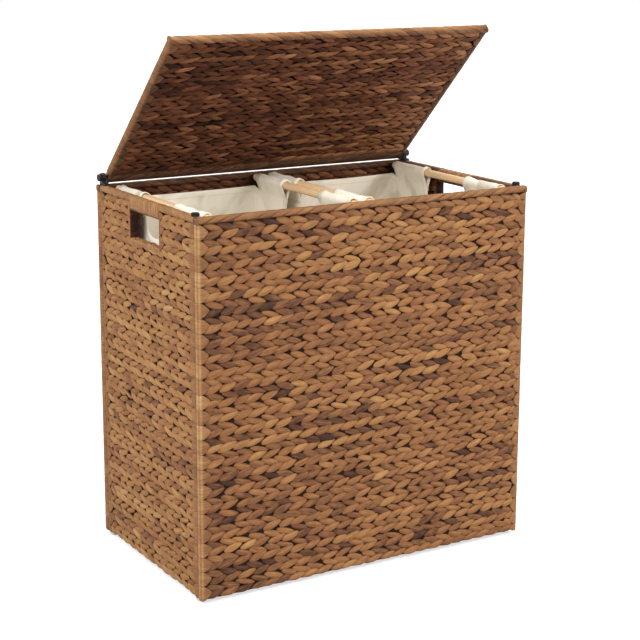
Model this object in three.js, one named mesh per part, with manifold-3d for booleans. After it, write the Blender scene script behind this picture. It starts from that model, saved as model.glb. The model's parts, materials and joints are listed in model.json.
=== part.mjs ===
// Laundry hamper with two bins: braided walls and lid on steel rod frames,
// and two canvas bags that hang from wooden dowels inside.
// Millimetres, +X right along the front, +Y back, +Z up, origin on the floor below the middle.

import * as THREE from 'three';
import { mergeVertices } from 'three/addons/utils/BufferGeometryUtils.js';
import Module from 'manifold-3d';

const wasm = await Module();
wasm.setup();

// Driving dimensions of the whole hamper
const width = 560;
const depth = 340;
const rimHeight = 558;
const wall = 14;
const seat = 0.3;
const overrun = 5;

// Braid: one course is a flat braid with a groove along its middle
const braidHeight = 22;
const valleyDepth = 2;
const braidShares = [[0, 1], [0.24, 0], [0.5, 0.55], [0.76, 0]];
const rimRoll = 9;
const endStrip = 3;
const stripInset = 0.5;

// Steel rods and tube posts inside the panels
const rodRadius = 2.5;
const rodSides = 8;
const railInset = 4.5;
const postRadius = 4;
const postBore = 2.5;
const postInset = 5.5;
const postSides = 12;

// Feet and post caps, each with a peg in its tube
const footHeight = 5;
const footRadius = 6;
const capHeight = 4.5;
const capRadius = 6;
const capCrown = 1;
const pegLength = 12;
const turnedSides = 12;
const edgeSteps = 3;

// Hand opening in each side wall and its wrapped grip
const gripDrop = 22;
const gripSwell = 0.7;
const gripCorner = 4.7;
const handleWidth = 92;
const handleHeight = 40;
const handleCorner = 5;
const handleRodInset = 5;

// Base panel
const baseThickness = 12;
const baseRodSpread = 100;
const baseCrossRods = 3;
const baseCrossSpread = 190;

// Lid, drawn closed about its hinge rod
const lidThickness = 13;
const lidSideGap = 10;
const lidFrontInset = 8;
const lidBinding = 10;
const lidRearReach = 12;
const lidRodSpread = 92;
const hingeInset = 12;
const restOpening = 44;
const fullOpening = 110;

// Hinge eyes and the caps on the ends of the hinge rod
const eyeRadius = 7.2;
const eyeWidth = 6;
const eyePlate = 3;
const eyeFoot = 5;
const eyeRunning = 0.5;
const plateRunning = 1.5;
const hingeCapRadius = 5.5;
const hingeCapLength = 4.5;

// Dowels and the steel cradles that carry their ends
const dowelRadius = 6;
const dowelDrop = 7;
const dowelEndGap = 3.6;
const dowelNose = 2;
const dowelSideGap = 15;
const dowelMiddleGap = 13;
const cradleSteel = 1.5;
const cradleReach = 6;
const cradleWidth = 16;
const cradleTop = 3;
const cradleHeight = 20;

// Canvas bags
const canvas = 3;
const sleeveCloth = 1.7;
const sleeveEndBare = 7;
const hemStep = 1;
const bagEndGap = 6;
const bagFloorGap = 1;
const bagCorner = 14;
const bagFootShare = 0.95;
const bagEndDrop = 20;
const bagCutWidth = 124;
const bagCutDrop = 69;
const bagCutCorner = 22;
const bagSides = 6;

// Places that follow from the sizes above
const wallBase = footHeight + seat;
const wallHeight = rimHeight - wallBase;
const weaveHeight = wallHeight - rimRoll - seat;
const courseCount = Math.round(weaveHeight / braidHeight);
const course = weaveHeight / courseCount;
const sideLength = depth - 2 * wall - 2 * seat;
const frontLength = width - 2 * endStrip - 2 * seat;
const innerHalfWidth = width / 2 - wall;
const innerHalfDepth = depth / 2 - wall;
const postX = width / 2 - wall / 2;
const postY = sideLength / 2 - postInset;
const railLow = railInset;
const railHigh = wallHeight - railInset;
const baseRodHeight = railLow + 2 * rodRadius + seat;
const baseTop = wallBase + baseRodHeight + baseThickness / 2;
const lidGap = seat + capHeight + seat;
const hingeRise = lidGap + lidThickness / 2;
const hingeY = depth / 2 - hingeInset;
const hingeZ = rimHeight + hingeRise;
const lidHalf = width / 2 - lidSideGap;
const lidReach = hingeY + depth / 2 - lidFrontInset;
const plateInner = postX - eyeFoot;
const eyeInner = lidHalf + eyeRunning;
const eyeOuter = eyeInner + eyeWidth;
const rearHalf = plateInner - plateRunning;
const dowelZ = rimHeight - dowelDrop;
const dowelHalf = innerHalfDepth - dowelEndGap;
const dowelOuterX = innerHalfWidth - dowelSideGap;
const bagCentre = (dowelOuterX + dowelMiddleGap) / 2;
const bagHalf = (dowelOuterX - dowelMiddleGap) / 2;
const sleeveBore = dowelRadius + seat;
const sleeveRadius = sleeveBore + sleeveCloth;
const sleeveEnd = dowelHalf - sleeveEndBare;
const bagEnd = innerHalfDepth - bagEndGap;
const bagFoot = baseTop + bagFloorGap;
const degree = Math.PI / 180;

// The lid's rear edge is square on top and comes down on the back rim at the full opening
const stopSine = Math.sin(fullOpening * degree);
const stopCosine = Math.cos(fullOpening * degree);
const lidRearOverhang = (hingeRise - seat + (lidThickness / 2) * stopCosine) / stopSine;

// Materials
const finishes = {
  braid: { color: 0xa9794a, roughness: 0.85, metalness: 0 },
  binding: { color: 0xc49a66, roughness: 0.8, metalness: 0 },
  steel: { color: 0x1c1a19, roughness: 0.45, metalness: 0.6 },
  blackPlastic: { color: 0x151515, roughness: 0.5, metalness: 0 },
  clearPlastic: { color: 0xe4e1da, roughness: 0.35, metalness: 0 },
  dowelWood: { color: 0xd2ab7c, roughness: 0.55, metalness: 0 },
  canvasCloth: { color: 0xe9dfcb, roughness: 0.95, metalness: 0 },
};

// A closed geometry as a solid, and a solid as a geometry
function solidOf(geometry) {
  const plain = geometry.clone();
  plain.deleteAttribute('normal');
  plain.deleteAttribute('uv');
  const merged = mergeVertices(plain);
  return new wasm.Manifold(new wasm.Mesh({
    numProp: 3,
    vertProperties: new Float32Array(merged.attributes.position.array),
    triVerts: new Uint32Array(merged.index.array),
  }));
}

function geometryOf(solid) {
  const mesh = solid.getMesh();
  const geometry = new THREE.BufferGeometry();
  geometry.setAttribute('position', new THREE.BufferAttribute(new Float32Array(mesh.vertProperties), 3));
  geometry.setIndex(new THREE.BufferAttribute(new Uint32Array(mesh.triVerts), 1));
  return geometry;
}

function union(solids) {
  return solids.reduce((whole, next) => whole.add(next));
}

function without(solid, cutters) {
  return cutters.reduce((rest, cutter) => rest.subtract(cutter), solid);
}

function named(name, solid, finish) {
  const flat = geometryOf(solid).toNonIndexed();
  flat.computeVertexNormals();
  const mesh = new THREE.Mesh(flat, new THREE.MeshStandardMaterial(finishes[finish]));
  mesh.name = name;
  return mesh;
}

// Basic solids
function block(low, high) {
  const size = low.map((value, axis) => high[axis] - value);
  const geometry = new THREE.BoxGeometry(...size);
  geometry.translate(...low.map((value, axis) => value + size[axis] / 2));
  return solidOf(geometry);
}

function rod(from, to, radius, sides) {
  const start = new THREE.Vector3(...from);
  const along = new THREE.Vector3(...to).sub(start);
  const geometry = new THREE.CylinderGeometry(radius, radius, along.length(), sides);
  geometry.translate(0, along.length() / 2, 0);
  const upright = new THREE.Vector3(0, 1, 0);
  geometry.applyQuaternion(new THREE.Quaternion().setFromUnitVectors(upright, along.clone().normalize()));
  geometry.translate(...from);
  return solidOf(geometry);
}

// A profile of [radius, height] points turned about an upright axis
function turned(profile, place) {
  const points = profile.map(([radius, height]) => new THREE.Vector2(radius, height));
  const geometry = new THREE.LatheGeometry(points, turnedSides);
  geometry.rotateX(Math.PI / 2);
  geometry.translate(...place);
  return solidOf(geometry);
}

// An outline of [across, up] points drawn out along X from one end to the other
function drawnAlongX(outline, from, to) {
  const shape = new THREE.Shape(outline.map(([across, up]) => new THREE.Vector2(across, up)));
  const geometry = new THREE.ExtrudeGeometry(shape, { depth: to - from, bevelEnabled: false });
  geometry.applyMatrix4(new THREE.Matrix4().set(
    0, 0, 1, from,
    1, 0, 0, 0,
    0, 1, 0, 0,
    0, 0, 0, 1,
  ));
  return solidOf(geometry);
}

// An outline of [across, up] points drawn out along Y
function drawnAlongY(outline, from, to) {
  const shape = new THREE.Shape(outline.map(([across, up]) => new THREE.Vector2(across, up)));
  const geometry = new THREE.ExtrudeGeometry(shape, { depth: to - from, bevelEnabled: false });
  geometry.applyMatrix4(new THREE.Matrix4().set(
    1, 0, 0, 0,
    0, 0, -1, to,
    0, 1, 0, 0,
    0, 0, 0, 1,
  ));
  return solidOf(geometry);
}

// Outline of a rectangle with round corners, counter-clockwise
function roundedOutline(low, high, radius, steps) {
  const corners = [
    [high[0] - radius, high[1] - radius, 0],
    [low[0] + radius, high[1] - radius, 1],
    [low[0] + radius, low[1] + radius, 2],
    [high[0] - radius, low[1] + radius, 3],
  ];
  const points = [];
  for (const [across, up, quarter] of corners) {
    for (let step = 0; step <= steps; step += 1) {
      const angle = (quarter + step / steps) * (Math.PI / 2);
      points.push([across + radius * Math.cos(angle), up + radius * Math.sin(angle)]);
    }
  }
  return points;
}

// Half thicknesses of braided courses laid one above another: [height, half thickness]
function braidedHalf(bottom, pitch, count, thickness) {
  const points = [];
  for (let index = 0; index < count; index += 1) {
    for (const [along, drop] of braidShares) {
      points.push([bottom + (index + along) * pitch, thickness / 2 - drop * valleyDepth]);
    }
  }
  points.push([bottom + count * pitch, thickness / 2 - valleyDepth]);
  return points;
}

// Half thicknesses of the wrapped roll along a side wall's rim
function rolledHalf(bottom, top, thickness) {
  const height = top - bottom;
  return [
    [bottom + height / 4, thickness / 2 - valleyDepth / 4],
    [bottom + height / 2, thickness / 2],
    [bottom + (height * 3) / 4, thickness / 2 - valleyDepth / 4],
    [top, thickness / 2 - valleyDepth],
  ];
}

function mirroredOutline(half) {
  const outside = half.map(([up, across]) => [across, up]);
  const inside = half.map(([up, across]) => [-across, up]).reverse();
  return [...outside, ...inside];
}

// Rods of a panel's frame, each from one end to the other: the same list makes frame and bores
function rodsOf(runs, radius) {
  return union(runs.map(([from, to]) => rod(from, to, radius, rodSides)));
}

// Front and back walls: local X along the wall, -Y outside, +Z up from the wall's lower edge
const longRail = frontLength / 2 - postInset;
const longFrameRuns = [
  [[-longRail - rodRadius, 0, railLow], [longRail + rodRadius, 0, railLow]],
  [[-longRail - rodRadius, 0, railHigh], [longRail + rodRadius, 0, railHigh]],
  [[-longRail, 0, railLow], [-longRail, 0, railHigh]],
  [[longRail, 0, railLow], [longRail, 0, railHigh]],
  [[0, 0, railLow], [0, 0, railHigh]],
];

function longWall(side) {
  const group = new THREE.Group();
  const frame = rodsOf(longFrameRuns, rodRadius);
  const bores = rodsOf(longFrameRuns, rodRadius + seat);
  const mouths = [-1, 1].map((end) => rod(
    [end * longRail, 0, railLow],
    [end * (frontLength / 2 + overrun), 0, railLow],
    rodRadius + seat,
    rodSides,
  ));
  const outline = mirroredOutline(braidedHalf(0, course, courseCount, wall));
  const weave = without(drawnAlongX(outline, -frontLength / 2, frontLength / 2), [bores, ...mouths]);
  const rollCorner = rimRoll / 2 - seat;
  const rollOutline = roundedOutline(
    [-wall / 2, weaveHeight + seat],
    [wall / 2, wallHeight],
    rollCorner,
    edgeSteps,
  );
  const roll = without(drawnAlongX(rollOutline, -frontLength / 2, frontLength / 2), [bores]);
  group.add(named(`${side}_frame`, frame, 'steel'));
  group.add(named(`${side}_weave`, weave, 'braid'));
  group.add(named(`${side}_rim_binding`, roll, 'binding'));
  for (const [end, label] of [[-1, 'a'], [1, 'b']]) {
    const inner = end * (width / 2 - endStrip);
    const outer = (end * width) / 2;
    const strip = block(
      [Math.min(inner, outer), stripInset - wall / 2, 0],
      [Math.max(inner, outer), wall / 2 - stripInset, wallHeight],
    );
    group.add(named(`${side}_end_strip_${label}`, strip, 'binding'));
  }
  return group;
}

// Side walls: the same frame of reference, with tube posts at both ends and a hand opening
const handleTop = wallHeight - gripDrop;
const handleLow = handleTop - handleHeight;
const jamb = handleWidth / 2 + handleRodInset;
const sideFrameRuns = [
  [[-postY, 0, railLow], [postY, 0, railLow]],
  [[-postY, 0, railHigh], [postY, 0, railHigh]],
  [[-jamb, 0, handleLow - handleRodInset], [-jamb, 0, railHigh]],
  [[jamb, 0, handleLow - handleRodInset], [jamb, 0, railHigh]],
  [[-postY, 0, handleLow - handleRodInset], [postY, 0, handleLow - handleRodInset]],
];

function sideWall(side) {
  const group = new THREE.Group();
  const posts = [-postY, postY].map((along) => rod(
    [along, 0, 0],
    [along, 0, wallHeight],
    postRadius,
    postSides,
  ));
  const postBores = [-postY, postY].map((along) => rod(
    [along, 0, -overrun],
    [along, 0, wallHeight + overrun],
    postRadius + seat,
    postSides,
  ));
  const tubeBores = [-postY, postY].map((along) => rod(
    [along, 0, -overrun],
    [along, 0, wallHeight + overrun],
    postBore,
    postSides,
  ));
  const frame = without(union([rodsOf(sideFrameRuns, rodRadius), ...posts]), tubeBores);
  const bores = rodsOf(sideFrameRuns, rodRadius + seat);
  const half = [
    ...braidedHalf(0, course, courseCount, wall),
    ...rolledHalf(weaveHeight, wallHeight, wall),
  ];
  const handleCut = drawnAlongY(
    roundedOutline(
      [-handleWidth / 2, handleLow],
      [handleWidth / 2, wallHeight + handleHeight],
      handleCorner,
      edgeSteps,
    ),
    -wall,
    wall,
  );
  const baseRodCuts = [-baseRodSpread, baseRodSpread].map((along) => rod(
    [along, -rodRadius - seat, baseRodHeight],
    [along, wall / 2 + overrun, baseRodHeight],
    rodRadius + seat,
    rodSides,
  ));
  const sheet = drawnAlongX(mirroredOutline(half), -sideLength / 2, sideLength / 2);
  const weave = without(sheet, [bores, ...postBores, handleCut, ...baseRodCuts]);
  const grip = without(
    drawnAlongX(
      roundedOutline(
        [-wall / 2 - gripSwell, handleTop],
        [wall / 2 + gripSwell, wallHeight],
        gripCorner,
        edgeSteps,
      ),
      seat - handleWidth / 2,
      handleWidth / 2 - seat,
    ),
    [bores],
  );
  group.add(named(`${side}_frame`, frame, 'steel'));
  group.add(named(`${side}_weave`, weave, 'braid'));
  group.add(named(`${side}_grip_wrap`, grip, 'binding'));
  return group;
}

// Base: braided panel on a ladder of rods that rests on the side walls' lower rails
function basePanel() {
  const group = new THREE.Group();
  const reach = postX + rodRadius;
  const runs = [-baseRodSpread, baseRodSpread].map((across) => [[-reach, across, 0], [reach, across, 0]]);
  for (let index = 0; index < baseCrossRods; index += 1) {
    const along = (index - (baseCrossRods - 1) / 2) * baseCrossSpread;
    runs.push([[along, -baseRodSpread, 0], [along, baseRodSpread, 0]]);
  }
  const frame = rodsOf(runs, rodRadius);
  const bores = rodsOf(runs, rodRadius + seat);
  const span = 2 * (innerHalfDepth - seat);
  const count = Math.round(span / braidHeight);
  const half = braidedHalf(-span / 2, span / count, count, baseThickness);
  const below = half.map(([along, thick]) => [along, -thick]);
  const above = half.map(([along, thick]) => [along, thick]).reverse();
  const ends = innerHalfWidth - seat;
  const weave = without(drawnAlongX([...below, ...above], -ends, ends), [bores]);
  group.add(named('base_frame', frame, 'steel'));
  group.add(named('base_weave', weave, 'braid'));
  return group;
}

// Foot and post cap, each turned with its peg
function foot(name, place) {
  const peg = postBore - seat;
  const profile = [
    [0, 0], [footRadius - capCrown, 0], [footRadius, capCrown], [footRadius, footHeight],
    [peg, footHeight], [peg, footHeight + pegLength], [0, footHeight + pegLength],
  ];
  return named(name, turned(profile, place), 'clearPlastic');
}

function postCap(name, place) {
  const peg = postBore - seat;
  const profile = [
    [0, -pegLength], [peg, -pegLength], [peg, 0], [capRadius, 0], [capRadius, capHeight - capCrown],
    [capRadius - capCrown, capHeight], [0, capHeight],
  ];
  return named(name, turned(profile, place), 'blackPlastic');
}

// Hinge eye: a ring for the hinge rod on a plate whose peg sits in the rear post
function hingeEye(name, end) {
  const plateLow = [Math.min(end * plateInner, end * eyeOuter), postY - eyeFoot, rimHeight + seat];
  const plateTop = rimHeight + seat + eyePlate;
  const plateHigh = [Math.max(end * plateInner, end * eyeOuter), hingeY + eyeFoot, plateTop];
  const webLow = [Math.min(end * eyeInner, end * eyeOuter), hingeY - eyeFoot, rimHeight + seat];
  const webHigh = [Math.max(end * eyeInner, end * eyeOuter), hingeY + eyeFoot, hingeZ];
  const ring = rod(
    [end * eyeInner, hingeY, hingeZ],
    [end * eyeOuter, hingeY, hingeZ],
    eyeRadius,
    turnedSides,
  );
  const peg = rod(
    [end * postX, postY, rimHeight - pegLength],
    [end * postX, postY, rimHeight + eyePlate / 2],
    postBore - seat,
    postSides,
  );
  const bore = rod(
    [end * (eyeInner - overrun), hingeY, hingeZ],
    [end * (eyeOuter + overrun), hingeY, hingeZ],
    rodRadius + seat,
    turnedSides,
  );
  const body = union([block(plateLow, plateHigh), block(webLow, webHigh), ring, peg]);
  return named(name, without(body, [bore]), 'steel');
}

// Lid, drawn closed: local origin on the hinge rod, -Y towards the front edge
function lid() {
  const group = new THREE.Group();
  const railX = lidHalf - lidBinding / 2;
  const railY = -(lidReach - lidBinding / 2);
  const pinHalf = eyeOuter + hingeCapLength - hingeCapLength / 4;
  const runs = [
    [[-railX - rodRadius, railY, 0], [railX + rodRadius, railY, 0]],
    [[-railX, 0, 0], [-railX, railY, 0]],
    [[railX, 0, 0], [railX, railY, 0]],
    [[-lidRodSpread, 0, 0], [-lidRodSpread, railY, 0]],
    [[lidRodSpread, 0, 0], [lidRodSpread, railY, 0]],
  ];
  const pin = [[-pinHalf, 0, 0], [pinHalf, 0, 0]];
  const frame = union([
    rodsOf(runs, rodRadius),
    rod(...pin, rodRadius, turnedSides),
  ]);
  const bores = union([rodsOf(runs, rodRadius + seat), rod(...pin, rodRadius + seat, turnedSides)]);
  const half = lidThickness / 2;

  const weaveRear = -(lidRearReach + seat);
  const weaveFront = -(lidReach - lidBinding - seat);
  const count = Math.round((weaveRear - weaveFront) / braidHeight);
  const rows = braidedHalf(weaveFront, (weaveRear - weaveFront) / count, count, lidThickness);
  const below = rows.map(([along, thick]) => [along, -thick]);
  const above = rows.map(([along, thick]) => [along, thick]).reverse();
  const weaveHalf = lidHalf - lidBinding - seat;
  const weave = without(drawnAlongX([...below, ...above], -weaveHalf, weaveHalf), [bores]);

  // Rear binding: round below and square on top about the hinge rod
  const roundSteps = 6;
  const rearOutline = [[-lidRearReach, half], [-lidRearReach, -half]];
  for (let step = 0; step <= roundSteps; step += 1) {
    const angle = (step / roundSteps) * (Math.PI / 2);
    rearOutline.push([lidRearOverhang * Math.sin(angle), -half * Math.cos(angle)]);
  }
  rearOutline.push([lidRearOverhang, half]);
  const rear = without(drawnAlongX(rearOutline, -rearHalf, rearHalf), [bores]);

  const edge = lidBinding / 2 - seat;
  const frontOutline = roundedOutline([-lidReach, -half], [-(lidReach - lidBinding), half], edge, edgeSteps);
  const front = without(drawnAlongX(frontOutline, -lidHalf, lidHalf), [bores]);
  const sides = [[-1, 'left'], [1, 'right']].map(([end, label]) => {
    const outer = end * lidHalf;
    const inner = end * (lidHalf - lidBinding);
    const outline = roundedOutline(
      [Math.min(outer, inner), -half],
      [Math.max(outer, inner), half],
      edge,
      edgeSteps,
    );
    const strip = drawnAlongY(outline, weaveFront, -lidRearReach);
    return named(`lid_${label}_binding`, without(strip, [bores]), 'binding');
  });

  group.add(named('lid_frame', frame, 'steel'));
  group.add(named('lid_weave', weave, 'braid'));
  group.add(named('lid_rear_binding', rear, 'binding'));
  group.add(named('lid_front_binding', front, 'binding'));
  group.add(...sides);
  for (const [end, label] of [[-1, 'left'], [1, 'right']]) {
    const capStart = eyeOuter + seat;
    const capEnd = capStart + hingeCapLength;
    const cap = rod([end * capStart, 0, 0], [end * capEnd, 0, 0], hingeCapRadius, turnedSides);
    const socket = rod(
      [end * (capStart - overrun), 0, 0],
      [end * (pinHalf + seat), 0, 0],
      rodRadius + seat,
      turnedSides,
    );
    group.add(named(`hinge_cap_${label}`, without(cap, [socket]), 'blackPlastic'));
  }
  group.position.set(0, hingeY, hingeZ);
  group.rotation.x = -restOpening * degree;
  return group;
}

// Dowel with rounded-off ends, along Y
function dowel(name, across) {
  const profile = [
    [0, -dowelHalf], [dowelRadius - dowelNose, -dowelHalf], [dowelRadius, dowelNose - dowelHalf],
    [dowelRadius, dowelHalf - dowelNose], [dowelRadius - dowelNose, dowelHalf], [0, dowelHalf],
  ];
  const mesh = named(name, turned(profile, [0, 0, 0]), 'dowelWood');
  mesh.rotation.x = Math.PI / 2;
  mesh.position.set(across, 0, dowelZ);
  return mesh;
}

// Cradle: a half ring for a dowel's end on a plate against the wall's inside
function cradle(name, across, end) {
  const plateFace = innerHalfDepth - seat;
  const plateBack = plateFace - cradleSteel;
  const inner = dowelRadius + seat;
  const outline = [];
  const steps = turnedSides / 2;
  for (let step = 0; step <= steps; step += 1) {
    const angle = Math.PI + (step / steps) * Math.PI;
    outline.push([(inner + cradleSteel) * Math.cos(angle), (inner + cradleSteel) * Math.sin(angle)]);
  }
  for (let step = steps; step >= 0; step -= 1) {
    const angle = Math.PI + (step / steps) * Math.PI;
    outline.push([inner * Math.cos(angle), inner * Math.sin(angle)]);
  }
  const saddle = drawnAlongY(outline, plateBack - cradleReach, plateBack + cradleSteel / 2);
  const plateTop = dowelDrop - cradleTop;
  const plate = block(
    [-cradleWidth / 2, plateBack, plateTop - cradleHeight],
    [cradleWidth / 2, plateFace, plateTop],
  );
  const mesh = named(name, plate.add(saddle), 'steel');
  mesh.position.set(across, 0, dowelZ);
  mesh.rotation.z = end < 0 ? Math.PI : 0;
  return mesh;
}

// A bag's tub: an upright prism with round corners that narrows towards its foot
function tub(halfX, halfY, corner, low, high) {
  const outline = roundedOutline([-halfX, -halfY], [halfX, halfY], corner, bagSides);
  const shape = new THREE.Shape(outline.map(([across, along]) => new THREE.Vector2(across, along)));
  const geometry = new THREE.ExtrudeGeometry(shape, { depth: high - low, bevelEnabled: false });
  const position = geometry.attributes.position;
  for (let index = 0; index < position.count; index += 1) {
    const share = bagFootShare + (1 - bagFootShare) * (position.getZ(index) / (high - low));
    position.setXY(index, position.getX(index) * share, position.getY(index) * share);
  }
  geometry.translate(0, 0, low);
  return solidOf(geometry);
}

// Bag: a tub whose long sides end in sleeves round the dowels, cut away between the sleeves
function bag(name, centre) {
  const shellTop = dowelZ - (sleeveBore + sleeveRadius) / 2;
  const outer = tub(bagHalf + canvas / 2, bagEnd, bagCorner, bagFoot, shellTop);
  const inner = tub(
    bagHalf - canvas / 2,
    bagEnd - canvas,
    bagCorner - canvas,
    bagFoot + canvas,
    shellTop + overrun,
  );
  const cutHalf = bagCutWidth / 2;
  const sleeves = [];
  const bores = [];
  for (const across of [-bagHalf, bagHalf]) {
    for (const end of [-1, 1]) {
      const near = end * (cutHalf + hemStep);
      const far = end * (sleeveEnd - hemStep);
      sleeves.push(rod([across, near, dowelZ], [across, far, dowelZ], sleeveRadius, turnedSides));
    }
    bores.push(rod([across, -bagEnd, dowelZ], [across, bagEnd, dowelZ], sleeveBore, turnedSides));
  }
  const endTop = rimHeight - bagEndDrop;
  const endCuts = [-1, 1].map((end) => block(
    [-width / 2, Math.min(end * sleeveEnd, end * depth), endTop],
    [width / 2, Math.max(end * sleeveEnd, end * depth), rimHeight + overrun],
  ));
  const cutBottom = rimHeight - bagCutDrop;
  const cutOutline = roundedOutline(
    [-cutHalf, cutBottom],
    [cutHalf, rimHeight + bagCutDrop],
    bagCutCorner,
    bagSides,
  );
  const fingerCut = drawnAlongX(cutOutline, -width / 2, width / 2);
  const shell = without(outer, [inner, ...endCuts, fingerCut]);
  const mesh = named(name, without(union([shell, ...sleeves]), bores), 'canvasCloth');
  mesh.position.x = centre;
  return mesh;
}

// The whole hamper
const hamper = new THREE.Group();

const longPlace = (depth - wall) / 2;
const front = longWall('front');
front.position.set(0, -longPlace, wallBase);
const back = longWall('back');
back.position.set(0, longPlace, wallBase);
back.rotation.z = Math.PI;
hamper.add(front, back);

const left = sideWall('left');
left.position.set(-postX, 0, wallBase);
left.rotation.z = -Math.PI / 2;
const right = sideWall('right');
right.position.set(postX, 0, wallBase);
right.rotation.z = Math.PI / 2;
hamper.add(left, right);

const base = basePanel();
base.position.set(0, 0, wallBase + baseRodHeight);
hamper.add(base);

for (const [alongY, row] of [[-1, 'front'], [1, 'rear']]) {
  for (const [alongX, column] of [[-1, 'left'], [1, 'right']]) {
    hamper.add(foot(`foot_${row}_${column}`, [alongX * postX, alongY * postY, 0]));
  }
}
for (const [alongX, column] of [[-1, 'left'], [1, 'right']]) {
  hamper.add(postCap(`post_cap_${column}`, [alongX * postX, -postY, rimHeight + seat]));
  hamper.add(hingeEye(`hinge_eye_${column}`, alongX));
}
hamper.add(lid());

const dowelPlaces = [
  ['left_outer', -dowelOuterX],
  ['left_inner', -dowelMiddleGap],
  ['right_inner', dowelMiddleGap],
  ['right_outer', dowelOuterX],
];
for (const [label, across] of dowelPlaces) {
  hamper.add(dowel(`dowel_${label}`, across));
  hamper.add(cradle(`cradle_front_${label}`, across, -1));
  hamper.add(cradle(`cradle_rear_${label}`, across, 1));
}
hamper.add(bag('left_bag', -bagCentre), bag('right_bag', bagCentre));

export default hamper;
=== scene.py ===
"""Double laundry hamper: braided walls and lid, two canvas bags on wooden dowels, plain studio."""
import json
import math
import bpy
import numpy as np
from mathutils import Matrix, Vector


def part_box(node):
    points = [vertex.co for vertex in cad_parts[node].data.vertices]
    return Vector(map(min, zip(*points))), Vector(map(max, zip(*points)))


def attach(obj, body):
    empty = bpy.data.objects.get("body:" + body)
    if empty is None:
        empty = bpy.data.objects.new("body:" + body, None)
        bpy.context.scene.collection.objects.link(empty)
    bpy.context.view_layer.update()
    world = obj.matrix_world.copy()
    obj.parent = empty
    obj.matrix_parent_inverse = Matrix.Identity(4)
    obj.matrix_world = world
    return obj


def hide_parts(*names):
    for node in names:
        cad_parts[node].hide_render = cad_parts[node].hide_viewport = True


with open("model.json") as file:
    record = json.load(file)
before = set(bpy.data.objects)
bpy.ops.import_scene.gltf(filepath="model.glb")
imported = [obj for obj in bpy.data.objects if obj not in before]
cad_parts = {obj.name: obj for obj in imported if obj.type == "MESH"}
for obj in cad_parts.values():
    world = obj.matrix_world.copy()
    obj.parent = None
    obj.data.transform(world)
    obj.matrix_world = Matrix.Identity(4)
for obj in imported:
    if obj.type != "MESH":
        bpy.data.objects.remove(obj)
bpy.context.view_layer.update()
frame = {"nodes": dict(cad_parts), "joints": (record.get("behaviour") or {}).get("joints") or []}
nodes = frame["nodes"]

MM = 0.001
RNG_SEED = 20


def span(node, axis):
    """Where a CAD node begins and ends along an axis, in millimetres."""
    return [round(corner[axis] / MM, 2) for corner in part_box(node)]


# Walls, in millimetres, from the CAD nodes. WEAVE_TOP is measured up from the walls' foot
side_x, side_y, side_z = (span("right_weave", axis) for axis in range(3))
WIDTH, DEPTH = 2 * side_x[1], 2 * span("back_weave", 1)[1]
WALL = side_x[1] - side_x[0]
WALL_BASE, RIM = side_z
SIDE_HALF = side_y[1]
COURSES = 25
COURSE = round((span("front_weave", 2)[1] - WALL_BASE) / COURSES, 3)
WEAVE_TOP = COURSES * COURSE

# Hand openings: the grip's wrap ends just short of the jambs, and HOLE_ROW is the first course cut through
GRIP_GAP, HOLE_TALL, HOLE_ROW = 0.3, 40.0, 23
HOLE_HALF = span("right_grip_wrap", 1)[1] + GRIP_GAP
HOLE_HIGH = span("right_grip_wrap", 2)[0]
HOLE_LOW = HOLE_HIGH - HOLE_TALL

# Base, and the lid in its own axes about the hinge rod
BASE_LOW, BASE_HIGH = span("base_weave", 2)
hinge = next(joint for joint in frame["joints"] if joint["name"] == "lid_hinge")
HINGE_Y, HINGE_Z = (round(place / MM, 2) for place in hinge["pos_m"][1:])
LID_OPEN = math.radians(-hinge["range_deg"][0])
LID_HALF = span("lid_right_binding", 0)[1]
LID_REAR_HALF = span("lid_rear_binding", 0)[1]
LID_REACH, LID_THICK, LID_REAR_BACK, LID_REAR_FRONT = 320.0, 13.0, 9.66, 12.0

# Bags: the cloth's middle, measured from each bag's own middle
BAG_CENTRE = sum(span("right_bag", 0)) / 2
DOWEL_Z = sum(span("dowel_right_inner", 2)) / 2
BAG_HALF, BAG_END = 119.0, 148.5
BAG_FOOT, BAG_TOP, BAG_FOOT_SHARE, BAG_CORNER = 28.5, 539.0, 0.955, 5.0
CUT_HALF, CUT_LOW, CUT_CORNER = 54.0, 495.5, 26.0
SEAM_HIGH, LEDGE_HIGH, END_SAG = 529.0, 534.0, 1.8
SLEEVE_R, SLEEVE_ROWS, SLEEVE_END, SLEEVE_SHORT = 7.2, 21, 142.0, 137.0
CANVAS_THICK, HEM_EXTRA, HEM_WIDE, FAR_FROM_HEM = 1.1, 0.9, 10.0, 40.0
LOW_ROWS, HIGH_ROWS = 50, 5

# Floor of a bag, ring by ring: how far in from the walls, and how far below their foot
FLOOR_RINGS = ((2.0, 3.4), (6.5, 4.8), (18, 5.0), (38, 4.6), (62, 4.4), (88, 4.2), (106, 4.2))

# Braid: stitches of almond leaves, with tails at least TAIL_IN from where a run begins
STITCH = 22.9
LEAF_LONG, LEAF_WIDE, LEAF_DEEP, LEAF_SHORTEST = 34.0, 13.4, 7.0, 14
TAIL_IN, RAGGED = 5.5, 1.5
SHIELD_REACH = 17.5

# How far the two ends of a leaf dive into the panel, and on which shares of its length
TAIL_DIVE, TAIL_SHARE = 2.6, 0.36
TIP_DIVE, TIP_FROM = 1.5, 0.68

# Core: half its thickness in a wall, and in the base and lid. In a wall it stops short of the ends and foot,
# and reaches into the rim
CORE_HALF, THIN_CORE_HALF = 3.0, 1.2
CORE_IN, CORE_FOOT, CORE_IN_RIM = 5, 1.5, 5.0

# Camera, fitted to the hamper's corners in the photograph: metres, degrees, and millimetres of film
CAMERA_PLACE = (-1.265, -2.127, 0.953)
CAMERA_YAW, CAMERA_PITCH, CAMERA_ROLL = 31.05, -12.70, 0.23
CAMERA_LENS, CAMERA_FILM, CAMERA_SHIFT = 92.7, 36.0, -0.047

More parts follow.
